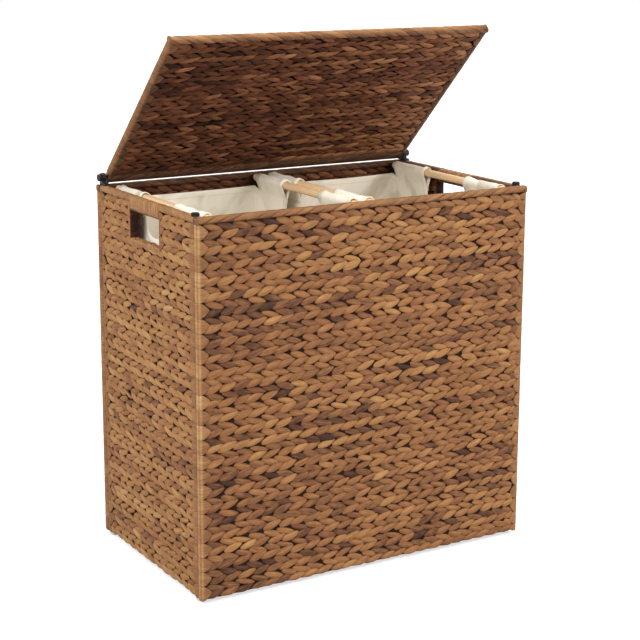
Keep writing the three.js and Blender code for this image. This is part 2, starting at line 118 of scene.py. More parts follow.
# Lamps: name, place in metres, power in watts and size in metres, all aimed at the hamper's middle
LAMPS = (
    ("key", (-2.75, -1.25, 2.5), 84, 1.8),
    ("fill", (1.9, -2.4, 1.6), 62, 2.2),
    ("top", (0.3, 0.2, 3.4), 48, 2.4),
    ("rear", (1.2, 3.0, 2.0), 24, 2.4),
)
LAMP_AIM = (0, 0, 0.35)


def photo_camera():
    """Camera at the photograph's place and viewing angle."""
    yaw, pitch, roll = (math.radians(turn) for turn in (CAMERA_YAW, CAMERA_PITCH, CAMERA_ROLL))
    forward = Vector((math.sin(yaw) * math.cos(pitch), math.cos(yaw) * math.cos(pitch), math.sin(pitch)))
    right = Vector((math.cos(yaw), -math.sin(yaw), 0.0))
    up = right.cross(forward)
    right_rolled = right * math.cos(roll) + up * math.sin(roll)
    up_rolled = up * math.cos(roll) - right * math.sin(roll)
    turn = Matrix((right_rolled, up_rolled, -forward)).transposed().to_4x4()
    data = bpy.data.cameras.new("photo_camera")
    data.sensor_width = CAMERA_FILM
    data.lens = CAMERA_LENS
    data.shift_y = CAMERA_SHIFT
    data.clip_end = 50.0
    camera = bpy.data.objects.new("photo_camera", data)
    camera.matrix_world = Matrix.Translation(CAMERA_PLACE) @ turn
    bpy.context.scene.collection.objects.link(camera)
    bpy.context.scene.camera = camera


class Place:
    """Local millimetres (along the courses, across them, outwards) to metres in the shared frame."""

    def __init__(self, origin, along, across, out):
        self.origin = np.array(origin, float)
        self.axes = np.array([along, across, out], float)
        self.mirrored = np.linalg.det(self.axes) < 0

    def to_world(self, points):
        return (points @ self.axes + self.origin) * MM

    def turned_over(self):
        return Place(self.origin, self.axes[0], self.axes[1], -self.axes[2])


def add_object(name, points, faces, body, slot, material, replaces, smooth=True, **attributes):
    """A new piece from points in metres, with per-point attributes."""
    mesh = bpy.data.meshes.new(name)
    mesh.from_pydata(points, [], faces)
    for key, values in attributes.items():
        values = np.asarray(values, np.float32)
        kind, field = ("FLOAT", "value") if values.ndim == 1 else ("FLOAT_VECTOR", "vector")
        mesh.attributes.new(key, kind, "POINT").data.foreach_set(field, values.ravel())
    mesh.polygons.foreach_set("use_smooth", [smooth] * len(mesh.polygons))
    mesh.update()
    mesh.materials.append(material)
    obj = bpy.data.objects.new(name, mesh)
    bpy.context.scene.collection.objects.link(obj)
    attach(obj, body)
    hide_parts(*replaces)
    return obj


class Strands:
    """Closed strands gathered into one mesh: every strand is a row of rings between two poles."""

    def __init__(self, place):
        self.place = place
        self.points, self.quads, self.tris = [], [], []
        self.tones, self.grains, self.flank_shades = [], [], []
        self.count = 0

    def add(self, centres, across, out, half_width, half_depth, tone, rng, sides=8, crease=0.0, square=1.0,
            limits=None, foot=None):
        """centres, across and out are (strands, rings, 3), half_width and half_depth (strands, rings), and
        tone has one to three of (strands, rings, sides). square below 1 flattens the section's sides,
        limits cut the strands off along the courses, and foot cuts them off below."""
        strands, rings = centres.shape[:2]
        inner = rings - 2
        angle = np.arange(sides) * 2 * math.pi / sides
        cos = np.sign(np.cos(angle)) * np.abs(np.cos(angle).round(9)) ** square
        sin = np.sign(np.sin(angle)) * np.abs(np.sin(angle).round(9)) ** square
        dent = np.where(np.abs(np.sin(angle) - 1) < 1e-6, 1.0, 0.0)
        dents = 1 - np.multiply.outer(np.broadcast_to(crease, (strands,)), dent)
        beside = half_width[:, 1:-1, None] * cos
        body = (
            centres[:, 1:-1, None, :]
            + across[:, 1:-1, None, :] * beside[..., None]
            + out[:, 1:-1, None, :] * (half_depth[:, 1:-1, None] * sin * dents[:, None, :])[..., None]
        )
        points = np.concatenate(
            [body.reshape(strands, inner * sides, 3), centres[:, :1], centres[:, -1:]], axis=1)
        if limits:
            points[..., 0] = np.clip(points[..., 0], *limits)
        if foot is not None:
            points[..., 1] = np.maximum(points[..., 1], foot)
        self.points.append(self.place.to_world(points.reshape(-1, 3)))
        self.add_faces(strands, inner, sides)

        per = inner * sides + 2
        steps = np.linalg.norm(np.diff(centres, axis=1), axis=2)
        travelled = np.concatenate([np.zeros((strands, 1)), np.cumsum(steps, axis=1)], axis=1)
        grain = np.zeros((strands, per, 3))
        grain[:, :inner * sides, 0] = np.repeat(travelled[:, 1:-1], sides, axis=1)
        grain[:, -1, 0] = travelled[:, -1]
        grain[:, :inner * sides, 1] = beside.reshape(strands, -1)
        grain[..., 2] = rng.uniform(0, 400, strands)[:, None]
        self.grains.append(grain.reshape(-1, 3))
        # Painted shade: 1 on a strand's sides, where it dips between its neighbours; the straw darkens there.
        flank_shade = np.zeros((strands, per))
        flank_shade[:, :inner * sides] = np.tile(np.abs(np.cos(angle)), inner)
        self.flank_shades.append(flank_shade.ravel())
        tone = np.asarray(tone, float)
        tone = tone.reshape(tone.shape + (1,) * (3 - tone.ndim))
        tone = np.broadcast_to(tone, (strands, rings, sides))
        parts = [tone[:, 1:-1].reshape(strands, -1), tone[:, 0, :1], tone[:, -1, :1]]
        self.tones.append(np.concatenate(parts, axis=1).ravel())

    def add_faces(self, strands, inner, sides):
        """Faces between the rings of each strand, and a fan at each of its poles."""
        per = inner * sides + 2
        ring = np.arange(inner - 1)[:, None] * sides
        side = np.arange(sides)[None, :]
        after = (side + 1) % sides
        quads = np.stack([ring + side, ring + after, ring + sides + after, ring + sides + side], -1)
        quads = quads.reshape(-1, 4)
        last = (inner - 1) * sides
        start_fan = np.stack([np.full(sides, per - 2), after[0], side[0]], -1)
        end_fan = np.stack([np.full(sides, per - 1), last + side[0], last + after[0]], -1)
        tris = np.concatenate([start_fan, end_fan])
        if self.place.mirrored:
            quads, tris = quads[:, ::-1], tris[:, ::-1]
        offsets = self.count + per * np.arange(strands)
        self.quads.append((quads[None] + offsets[:, None, None]).reshape(-1, 4))
        self.tris.append((tris[None] + offsets[:, None, None]).reshape(-1, 3))
        self.count += per * strands

    def build(self, name, body, *replaces, slot="binding", material=None):
        """The piece itself, in binding straw if no material is given."""
        faces = np.concatenate(self.quads).tolist() + np.concatenate(self.tris).tolist()
        values = {"tone": self.tones, "grain": self.grains, "flank_shade": self.flank_shades}
        values = {key: np.concatenate(parts) for key, parts in values.items()}
        add_object(name, np.concatenate(self.points), faces, body, slot, material or binding_material,
                   replaces, **values)


def unit(vectors):
    return vectors / np.maximum(np.linalg.norm(vectors, axis=-1, keepdims=True), 1e-9)


# Rings of a leaf from tail to tip, and its share of the full width at each
RING_AT = np.array([0, 0.04, 0.12, 0.23, 0.36, 0.5, 0.64, 0.77, 0.88, 0.96, 1.0])
LEAF_FULL = 1.08 * (1 - (1 - RING_AT) ** 3) ** 0.6 * (1 - RING_AT ** 2.8) ** 0.8


def add_leaves(strands, tails, tips, lift, width, depth, tone, rng, foot=None):
    """Almond leaves lying on the surface from tail to tip: (leaves, 2) ends along and across."""
    count = len(tails)
    ends = tips - tails
    length = np.linalg.norm(ends, axis=1, keepdims=True)
    ahead = ends / length
    beside = np.stack([-ahead[:, 1], ahead[:, 0]], 1)
    at = RING_AT[None, :]
    lean = np.sign(ends[:, 1])[:, None]
    belly = rng.normal(-0.3, 0.35, (count, 1))
    sway = -lean * belly * np.sin(math.pi * at ** 1.3)
    flat = tails[:, None, :] + ends[:, None, :] * at[..., None] + beside[:, None, :] * sway[..., None]
    tail_dive = TAIL_DIVE * np.clip(1 - at / TAIL_SHARE, 0, 1) ** 1.5
    tip_dive = TIP_DIVE * np.clip((at - TIP_FROM) / (1 - TIP_FROM), 0, 1) ** 1.5
    centres = np.concatenate([flat, (lift[:, None] - tail_dive - tip_dive)[..., None]], axis=2)
    twist = rng.normal(0, 0.1, (count, 1)) + lean * 0.05
    sideways = np.concatenate([beside, np.zeros((count, 1))], 1)[:, None, :]
    upwards = np.array([0, 0, 1.0])
    cos, sin = np.cos(twist)[..., None], np.sin(twist)[..., None]
    across = np.broadcast_to(sideways * cos + upwards * sin, centres.shape)
    out = np.broadcast_to(upwards * cos - sideways * sin, centres.shape)
    half_width = width[:, None] / 2 * LEAF_FULL
    half_depth = depth[:, None] / 2 * LEAF_FULL ** 0.8
    crease = np.where(rng.random(count) < 0.5, rng.uniform(0.05, 0.2, count), 0)
    strands.add(centres, across, out, half_width, half_depth, tone, rng, crease=crease, foot=foot)


def course_tones(stitches, rng, spread):
    """Tones of one row of leaves: a few strands take turns, so a tone comes back every third leaf."""
    cycle, run = 3, 6
    base = rng.normal(0, 0.07, cycle)
    runs = np.repeat(rng.normal(0, 0.08, stitches // run + 2), run)[:stitches]
    tones = base[np.arange(stitches) % cycle] + runs + rng.normal(0, 0.07, stitches)
    odd = rng.random(stitches)
    tones[odd < 0.02] -= 0.16
    tones[odd > 0.965] += 0.13
    return np.clip(0.5 + spread * tones, 0, 1)


def braid_rows(strands, field, rng, tone_shift=0.0, lift=3.3, row_span=None, start=SHIELD_REACH, finish=3.0,
               spread=1.0, tuck=1.1, deep=LEAF_DEEP, bias=1.0, broad=LEAF_WIDE, fade=(0.0, 0.0, 0.0),
               foot=None):
    """V-shaped stitches row by row, pointing along the courses. field is the panel's low and high end, its
    bottom, the height of a row and their number. row_span(row, arm) lists the runs to fill."""
    low, high, bottom, pitch, rows = field
    laid = []
    for row in range(rows):
        spine = bottom + (row + 0.5) * pitch
        drift = rng.normal(0, 0.35)
        for arm in (-1, 1):
            runs = row_span(row, arm) if row_span else [(low, high)]
            for run_low, run_high in runs:
                stitches = int((run_high - run_low) / STITCH) + 4
                steps = STITCH * (1 + rng.normal(0, 0.06, stitches))
                tip = run_low + start + STITCH + rng.normal(0, 1.2) + np.cumsum(steps) - steps[0]
                long = LEAF_LONG * (1 + rng.normal(0, 0.05, stitches))
                tail = np.maximum(tip - long, run_low + TAIL_IN + rng.uniform(0, RAGGED, stitches))
                last = run_high - finish - rng.uniform(0, RAGGED, stitches)
                keep = (tip - STITCH * 0.75 < last) & (np.minimum(tip, last) - tail > LEAF_SHORTEST)
                tip = np.minimum(tip, last)
                # Painted shade: each stitch's upper arm is a little darker than its lower one, as if less
                # lit; a negative bias turns this round.
                tone = course_tones(stitches, rng, spread) + tone_shift - 0.04 * arm * bias
                tone = tone + np.interp(tip, (low, (low + high) / 2, high), fade)
                wide = broad * (1 + rng.normal(0, 0.07, stitches))
                wide = wide * (1 - 0.07 * arm * bias)
                tail_across = spine + arm * (pitch / 2 - tuck + rng.normal(0, 0.35, stitches))
                tip_across = spine + arm * (0.5 + 0.4 * arm * bias) + drift + rng.normal(0, 0.3, stitches)
                thick = deep * (1 + rng.normal(0, 0.06, stitches))
                raised = lift - 0.3 * arm * bias + rng.normal(0, 0.28, stitches)
                leaves = np.stack([tail, tail_across, tip, tip_across, raised, wide, thick, tone], 1)
                laid.append(leaves[keep])
    laid = np.concatenate(laid)
    add_leaves(strands, laid[:, :2], laid[:, 2:4], *laid[:, 4:].T, rng, foot)


def end_turns(strands, edge, way, centres_at, heights, rng, half=WALL / 2, reach=SHIELD_REACH, end_shift=0.0,
              corner_highlight=0.0, blunt=1.35, tone=0.45):
    """Broad strands that turn round a panel's end and taper to a tip on both faces.
    edge is the end's place along the courses, way is +1 at the far end and -1 at the near end."""
    skin, round_off, square, inner_shade = 2.0, 4.0, 0.6, -0.4
    count = len(centres_at)
    radius = half - 1.5
    flats = [(-round_off - step * (reach - round_off), radius - 1.7 * step ** 2)
             for step in (1.0, 0.9, 0.74, 0.56, 0.38, 0.2)]
    turn = [(round_off * (abs(math.cos(a)) ** square - 1),
             radius * math.copysign(abs(math.sin(a)) ** square, a))
            for a in np.linspace(math.pi / 2, -math.pi / 2, 7)]
    path = np.array(flats + turn + [(u, -n) for u, n in flats[::-1]])
    tangent = unit(np.gradient(path, axis=0))
    depth_in = np.clip((-path[:, 0] - 2.5) / (reach - 2.5), 0, 1)
    taper = 1 - depth_in ** blunt
    jitter = rng.normal(0, 0.5, (count, 1))
    stretch = 1 + rng.normal(0, 0.05, (count, 1))
    centres, out, across = np.zeros((3, count, len(path), 3))
    centres[..., 0] = edge + way * (path[:, 0] * stretch - skin / 2)
    centres[..., 1] = centres_at[:, None] + jitter * depth_in
    centres[..., 2] = path[:, 1]
    out[..., 0] = way * -tangent[:, 1]
    out[..., 2] = tangent[:, 0]
    across[..., 1] = way
    half_width = heights[:, None] / 2 * 1.05 * np.maximum(taper, 0.02)
    half_depth = np.full((count, len(path)), skin) * (0.3 + 0.35 * taper ** 0.5)
    turned = np.clip(1 - depth_in * 8, 0, 1)
    corner = np.isclose(path[:, 1], radius * math.sin(math.pi / 3) ** square) | np.isclose(path[:, 1], 0)
    inner = (path[:, 1] < 0) & (path[:, 0] < 0.1 - round_off)
    # Painted shade darkens the turn's inner face; end_shift lightens or darkens the turned end, and the
    # corner rings take a painted highlight line.
    by_ring = end_shift * (turned * ~inner + corner * corner_highlight) + inner_shade * inner
    tone = rng.normal(tone, 0.08, (count, 1)) + by_ring
    strands.add(centres, across, out, half_width, half_depth, tone, rng, sides=12, square=0.4)


def wrapped_edge(strands, section, low, high, pitch, slant, rng, thick=2.4, tone=0.6, spread=0.05,
                 inner_shade=0.0, square=0.5, groove_shade=0.0):
    """Strands wound over an edge: section is an open path of (across, out) points."""
    section = np.array(section, float)
    fill_in(strands, section, low, high, thick, tone, inner_shade, groove_shade, rng)
    count = max(2, int(round((high - low) / pitch)))
    step = (high - low) / count
    lengths = np.concatenate([[0], np.cumsum(np.linalg.norm(np.diff(section, axis=0), axis=1))])
    more = int(abs(slant) * lengths[-1] / 2 / step + 0.7)
    at = low + (np.arange(-more, count + more) + 0.5) * step
    count = len(at)
    at = at + rng.normal(0, 0.06, count) * step
    share = lengths / lengths[-1] - 0.5
    tangent = unit(np.gradient(section, axis=0))
    centres, out, across = np.zeros((3, count, len(section), 3))
    centres[..., 0] = at[:, None] + slant * share * lengths[-1]
    centres[..., 1:] = section
    out[..., 1], out[..., 2] = -tangent[:, 1], tangent[:, 0]
    across[..., 0] = 1.0
    wide = step * (0.58 + rng.normal(0, 0.04, (count, 1)))
    half_width = wide * np.sin(math.pi * np.clip(share + 0.5, 0.02, 0.98)) ** 0.2
    half_depth = np.full((count, len(section)), thick / 2 * 1.3)
    # Painted shade: the strands darken on the edge's inner side.
    tones = rng.normal(tone, spread, (count, 1)) + inner_shade * np.clip(share * 9 - 0.6, 0, 1)
    strands.add(centres, across, out, half_width, half_depth, tones, rng, sides=12, square=square,
                limits=(low, high))


def fill_in(strands, section, low, high, thick, tone, inner_shade, groove_shade, rng):
    """Solid middle of a wound edge and a plug on each end, darker on its inner side and in the grooves
    between the strands as painted shade.
    """
    sides, proud, plug_long, plug_spare = 24, 0.3, 2, 0.68
    middle = (section.max(axis=0) + section.min(axis=0)) / 2
    reach = (section.max(axis=0) - section.min(axis=0)) / 2
    swell = np.array([0, 0.96, 1, 1, 0.96, 0])
    angle = np.arange(sides) * 2 * math.pi / sides
    # Painted shade on the inner side, and in the middle where it shows between the wound strands.
    tones = np.tile(tone + inner_shade * (np.sin(angle) < -0.3), (1, len(swell), 1))
    lengths = ((low, high, 0.3, groove_shade), (low - proud, low + plug_long, plug_spare, groove_shade * 0.4),
               (high - plug_long, high + proud, plug_spare, groove_shade * 0.4))
    for start, finish, spare, dark in lengths:
        centres, across, out = np.zeros((3, 1, len(swell), 3))
        centres[0, :, 0] = [start, start, start + 0.4, finish - 0.4, finish, finish]
        centres[0, :, 1:] = middle
        across[..., 1], out[..., 2] = 1.0, 1.0
        size = (reach + thick * spare)[:, None, None] * swell[None, None, :]
        strands.add(centres, across, out, size[0], size[1], tones - dark, rng, sides=sides, square=0.6)


def arch(low, high, half, corner, steps=5, tuck=0.0):
    """Section path over an edge: up one face, over the top and down the other, as (across, out)."""
    points = [(low, half - tuck), (low + (high - corner - low) * 0.5, half)]
    for step in range(steps + 1):
        a = step / steps * math.pi / 2
        points.append((high - corner + corner * math.sin(a), half - corner + corner * math.cos(a)))
    return points + [(v, -n) for v, n in points[::-1]]


def core_sheet(name, place, patches, half, material, body, weave):
    """Inner sheet behind the stitches, dark as painted shade, one rippled slab per patch of (low, high)
    corners.
    """
    points, faces = [], []
    ripple, steps_a_course = 0.35, 4
    for (u0, v0), (u1, v1) in patches:
        steps = max(2, int((v1 - v0) / (COURSE / steps_a_course)))
        base = len(points)
        for index, v in enumerate(np.linspace(v0, v1, steps + 1)):
            n = half + ripple * math.cos(index * math.pi / 2)
            points += [(u0, v, n), (u1, v, n), (u1, v, -n), (u0, v, -n)]
        for index in range(steps):
            a, b = base + 4 * index, base + 4 * (index + 1)
            for k in range(4):
                faces.append((a + k, a + (k + 1) % 4, b + (k + 1) % 4, b + k))
        faces.append((base + 3, base + 2, base + 1, base))
        last = base + 4 * steps
        faces.append((last, last + 1, last + 2, last + 3))
    if not place.mirrored:
        faces = [face[::-1] for face in faces]
    points = np.array(points, float)
    add_object(name, place.to_world(points), faces, body, "braid", material, (weave,), smooth=False,
               grain=points)


def linear(code):
    """Linear colour of a hex code as it looks on a screen."""
    channels = [int(code[i:i + 2], 16) / 255 for i in (0, 2, 4)]
    return [c / 12.92 if c <= 0.04045 else ((c + 0.055) / 1.055) ** 2.4 for c in channels] + [1.0]


class Nodes:
    """Makes and links the nodes of a material or of the world."""

    def __init__(self, tree):
        self.tree = tree

    def put(self, value, socket):
        """Links what another node gives, or sets a plain value on the socket."""
        if isinstance(value, bpy.types.NodeSocket):
            self.tree.links.new(value, socket)
        else:
            socket.default_value = value

    def node(self, kind, inputs, output=0, **settings):
        """One output of a new node, whose inputs are given by name or number."""
        made = self.tree.nodes.new("ShaderNode" + kind)
        for key, value in settings.items():
            setattr(made, key, value)
        for socket, value in inputs.items():
            self.put(value, made.inputs[socket])
        return made.outputs[output]

    def attribute(self, name, output="Fac"):
        return self.node("Attribute", {}, output, attribute_name=name)

    def place(self):
        return self.node("TexCoord", {}, "Object")

    def math(self, operation, *values):
        return self.node("Math", dict(enumerate(values)), operation=operation)

    def scaled(self, vector, scale):
        return self.node("VectorMath", {0: vector, 1: scale}, operation="MULTIPLY")

    def noise(self, vector, scale, detail=2.0, roughness=0.5):
        inputs = {"Vector": vector, "Scale": scale, "Detail": detail, "Roughness": roughness}
        return self.node("TexNoise", inputs)

    def mix(self, kind, factor, first, second):
        return self.node("Mix", {0: factor, 6: first, 7: second}, 2, data_type="RGBA", blend_type=kind)

    def bump(self, height, distance, strength, after=None):
        inputs = {"Height": height, "Distance": distance, "Strength": strength}
        if after is not None:
            inputs["Normal"] = after
        return self.node("Bump", inputs)

    def ramp(self, factor, stops):
        """A colour ramp of hex codes or greys."""
        made = self.tree.nodes.new("ShaderNodeValToRGB")
        ramp = made.color_ramp
        while len(ramp.elements) < len(stops):
            ramp.elements.new(0.5)
        for element, (at, color) in zip(ramp.elements, stops):
            element.position = at
            element.color = linear(color) if isinstance(color, str) else (color, color, color, 1)
        self.put(factor, made.inputs[0])
        return made.outputs[0]

    def show_and_light(self, seen, lit, output):
        """Shows one shader to the camera, also in a gloss or through glass, and lights with the other."""
        camera, gloss, glass = (
            self.node("LightPath", {}, f"Is {ray} Ray") for ray in ("Camera", "Glossy", "Transmission"))
        shown = self.math("MAXIMUM", self.math("MAXIMUM", camera, gloss), glass)
        self.put(self.node("MixShader", {0: shown, 1: lit, 2: seen}), output)


class Shader(Nodes):
    """A node material with its Principled shader at hand."""

    def __init__(self, name, roughness, specular):
        self.material = bpy.data.materials.new(name)
        self.material.use_nodes = True
        super().__init__(self.material.node_tree)
        self.surface = self.tree.nodes["Principled BSDF"]
        self.surface.inputs["Roughness"].default_value = roughness
        self.surface.inputs["Specular IOR Level"].default_value = specular

    def finish(self, color, normal=None):
        """Links the colour and the bump to the shader, and gives the finished material."""
        self.put(color, self.surface.inputs["Base Color"])
        if normal is not None:
            self.put(normal, self.surface.inputs["Normal"])
        return self.material


def straw(name, places, codes, specular=0.2):
    """Dried plant strands: tone per strand, fibres along it, blotches, painted shade on their flanks and a
    soft satin.
    """
    s = Shader(name, roughness=0.62, specular=specular)
    grain = s.attribute("grain", "Vector")
    fibre = s.noise(s.scaled(grain, (0.055, 1.5, 0.37)), 1.0, 3.0, 0.6)
    streak = s.noise(s.scaled(grain, (0.03, 0.42, 0.9)), 1.0, 2.0)
    blotch = s.noise(s.scaled(grain, (0.09, 0.13, 1.7)), 1.0, 2.0)
    shift = s.math("ADD", s.math("MULTIPLY", s.math("SUBTRACT", streak, 0.5), 0.5),
                   s.math("MULTIPLY", s.math("SUBTRACT", blotch, 0.5), 0.42))
    base = s.ramp(s.math("ADD", s.attribute("tone"), shift), list(zip(places, codes.split())))
    shade = s.ramp(fibre, [(0.25, 0.66), (0.5, 1.0), (0.8, 1.12)])
    # Painted shade: the strands' flanks darken where they dip between their neighbours.
    flank_shade = s.ramp(s.attribute("flank_shade"), [(0.76, 1.0), (0.98, 0.42)])
    s.put(s.math("ADD", s.math("MULTIPLY", fibre, 0.25), 0.48), s.surface.inputs["Roughness"])
    color = s.mix("MULTIPLY", 1.0, s.mix("MULTIPLY", 1.0, base, shade), flank_shade)
    return s.finish(color, s.bump(streak, 0.0011, 0.8, s.bump(fibre, 0.0006, 0.8)))


def painted_shade_core_shader(name, dark, pale):
    """Painted shade: dark brown for the depth between the strands, where shadow falls."""
    s = Shader(name, roughness=0.95, specular=0.1)
    return s.finish(s.ramp(s.noise(s.attribute("grain", "Vector"), 0.2), [(0.3, dark), (0.7, pale)]))


def speckled(name, dark, pale, roughness, specular, mottle, pits, depth, strength):
    """Painted steel or moulded plastic: mottled in tone and finely pitted."""
    s = Shader(name, roughness=roughness, specular=specular)
    color = s.ramp(s.noise(s.place(), mottle, 3.0), [(0.3, dark), (0.7, pale)])
    return s.finish(color, s.bump(s.noise(s.place(), pits, 3.0), depth, strength))


def wood_shader():
    """Pale turned wood with its grain along the dowels."""
    s = Shader("dowel_wood", roughness=0.5, specular=0.35)
    rings = s.noise(s.scaled(s.place(), (60, 2.2, 60)), 3.0, 4.0, 0.6)
    pores = s.noise(s.scaled(s.place(), (900, 22, 900)), 1.0, 3.0, 0.6)
    base = s.ramp(rings, [(0.3, "e8b987"), (0.5, "f2cb9c"), (0.7, "f9dcb6")])
    color = s.mix("MULTIPLY", 0.35, base, s.ramp(pores, [(0.3, 0.8), (0.55, 1.0)]))
    return s.finish(color, s.bump(pores, 0.0002, 0.6))


def canvas_shader():
    """Unbleached canvas: threads, slubs, a crumple that also paints shade into its creases, and a line of
    stitches along the hems.
    """
    thread, stitch, seam_in = 0.0011, 4.2, 8.6
    s = Shader("canvas_cloth", roughness=0.9, specular=0.15)
    place = s.place()
    axes = [s.node("SeparateXYZ", {0: place}, axis) for axis in range(3)]
    threads = [s.math("SINE", s.math("MULTIPLY", axis, 2 * math.pi / thread)) for axis in axes]
    weave = s.math("ADD", *(s.math("MULTIPLY", along, threads[2]) for along in threads[:2]))
    slub = s.noise(s.scaled(place, (500, 500, 40)), 1.0, 2.0)
    base = s.ramp(s.noise(place, 14.0, 3.0), [(0.3, "faf0dc"), (0.6, "fff7e6"), (0.8, "fffaf0")])
    cloth = s.mix("MULTIPLY", 0.5, base, s.ramp(slub, [(0.3, 0.95), (0.6, 1.0)]))
    from_seam = s.math("ABSOLUTE", s.math("SUBTRACT", s.attribute("hem"), seam_in))
    round_bag = s.node("SeparateXYZ", {0: s.attribute("cloth", "Vector")})
    dashes = s.math("SINE", s.math("MULTIPLY", round_bag, 2 * math.pi / stitch))
    seam = s.math("MULTIPLY", s.ramp(from_seam, [(0.3, 1.0), (0.7, 0.0)]),
                  s.ramp(dashes, [(0.1, 0.3), (0.3, 1.0)]))
    # Painted shade: the slanted crumple darkens the cloth's colour in its creases, besides bumping them.
    slanted = s.node("Mapping", {"Vector": place, "Rotation": (0.5, -0.6, 0.0)})
    crumple = s.noise(s.scaled(slanted, (1.0, 1.0, 0.42)), 27.0, 2.5)
    crease_shaded = s.mix("MULTIPLY", 1.0, cloth, s.ramp(crumple, [(0.32, "e4e0d8"), (0.46, "ffffff")]))
    color = s.mix("MULTIPLY", s.math("MULTIPLY", seam, 0.35), crease_shaded, linear("b3a184"))
    s.surface.inputs["Sheen Weight"].default_value = 0.15
    s.surface.inputs["Sheen Roughness"].default_value = 0.5
    folds = s.bump(crumple, 0.009, 0.8, s.bump(seam, 0.0004, 0.8))
    return s.finish(color, s.bump(weave, 0.0001, 0.3, s.bump(slub, 0.0002, 0.5, folds)))


photo_camera()

straw_material = straw(
    "braid_straw", (0.0, 0.2, 0.42, 0.6, 0.8, 1.0), "3b2417 64402a 8d5e3a 9f6f44 ae7f4e bb935f")
# Painted shade: inside faces, the lid's underside and the jambs take a darker, redder copy of the straw, as
# it looks in shade.
shaded_straw_material = straw(
    "braid_straw_inside_painted_shade", (0.0, 0.2, 0.4, 0.6, 0.8, 1.0), "180b08 361c12 54301f 70432d 906040 a57450", 0.1)
binding_material = straw("binding_straw", (0.0, 0.25, 0.5, 0.75, 1.0), "4e3222 7c5435 976942 b18658 c9a475")
# Painted shade: the cores are dark brown so the gaps between strands look shaded, and the darker one deepens
# them on the side walls and lid.
shade_core_material = painted_shade_core_shader("braid_core_painted_shade", "1e110a", "35211a")
deep_shade_core_material = painted_shade_core_shader("braid_core_deep_painted_shade", "120a06", "23130c")
steel_material = speckled("black_steel", "0b0a09", "1a1715", 0.5, 0.25, 220, 1400, 0.0002, 0.6)
brown_steel_material = speckled("brown_steel", "24150e", "332016", 0.5, 0.25, 220, 1400, 0.0002, 0.6)
plastic_material = speckled("black_plastic", "0c0a09", "191513", 0.55, 0.25, 160, 2600, 0.00015, 0.7)
foot_material = speckled("pale_plastic", "cfcbc2", "e6e3db", 0.32, 0.5, 120, 1800, 0.0001, 0.5)
wood_material = wood_shader()
canvas_material = canvas_shader()


def hole_runs(row, arm):
    """Runs of a side wall's row beside the hand opening."""
    if row >= HOLE_ROW or (row == HOLE_ROW - 1 and arm > 0):
        return [(-SIDE_HALF, -HOLE_HALF), (HOLE_HALF, SIDE_HALF)]
    return [(-SIDE_HALF, SIDE_HALF)]


def braided_face(name, place, material, body, weave, field, rng, **look):
    """The stitches on one face of a panel, as a piece."""
    face = Strands(place)
    braid_rows(face, field, rng, **look)
    face.build(name, body, weave, slot="braid", material=material)


def add_end_columns(strands, field, rng, half, **tones):
    """Turns at both ends: centred on the spines where the stitches start, between them at the far end."""
    low, high, bottom, pitch, rows = field
    spines = bottom + (np.arange(rows) + 0.5) * pitch
    end_turns(strands, low, -1, spines, np.full(rows, pitch), rng, half, **tones)
    borders = bottom + np.arange(rows + 1) * pitch
    heights = np.full(rows + 1, pitch)
    borders[0] += pitch / 4
    borders[-1] -= pitch / 4
    heights[[0, -1]] = pitch / 2
    end_turns(strands, high, 1, borders, heights, rng, half, reach=13.0, blunt=2.6)


def long_wall(side, y, out_sign, seed):
    """Front or back wall: core, two braided faces, turns at its ends and a roll along its rim."""
    rng = np.random.default_rng(seed)
    outside = Place((0.0, y, WALL_BASE), (1, 0, 0), (0, 0, 1), (0, out_sign, 0))
    half = WIDTH / 2
    field = (-half, half, 0.0, COURSE, COURSES)
    body, weave = "hamper_body", f"{side}_weave"
    patch = ((-half + CORE_IN, CORE_FOOT), (half - CORE_IN, WEAVE_TOP + CORE_IN_RIM))
    core_sheet(f"{side}_core", outside, [patch], CORE_HALF, shade_core_material, body, weave)
    braided_face(f"{side}_braid_outside", outside, straw_material, body, weave, field, rng,
                 tone_shift=-0.04, fade=(-0.15, 0.0, -0.02), foot=1.0)
    braided_face(f"{side}_braid_inside", outside.turned_over(), shaded_straw_material, body, weave, field, rng,
                 tone_shift=-0.02)
    ends = Strands(outside)
    # Painted light: the front wall's left end is lighter where it faces the light, with a painted highlight
    # line along its corner.
    tones = {"end_shift": 0.09, "corner_highlight": 3.0} if out_sign < 0 else {"end_shift": -0.02}
    add_end_columns(ends, field, rng, WALL / 2, **tones)
    ends.build(f"{side}_end_turns", body, f"{side}_end_strip_a", f"{side}_end_strip_b")
    rim = Strands(outside)
    section = arch(WEAVE_TOP + 0.5, RIM - WALL_BASE - 1.1, WALL / 2 - 1.2, 3.4, tuck=0.8)
    wrapped_edge(rim, section, -half + 0.5, half - 0.5, 20.0, 2.8, rng, tone=0.45, spread=0.09,
                 inner_shade=-0.45, square=0.75, groove_shade=0.35)
    rim.build(f"{side}_rim_roll", body, f"{side}_rim_binding")


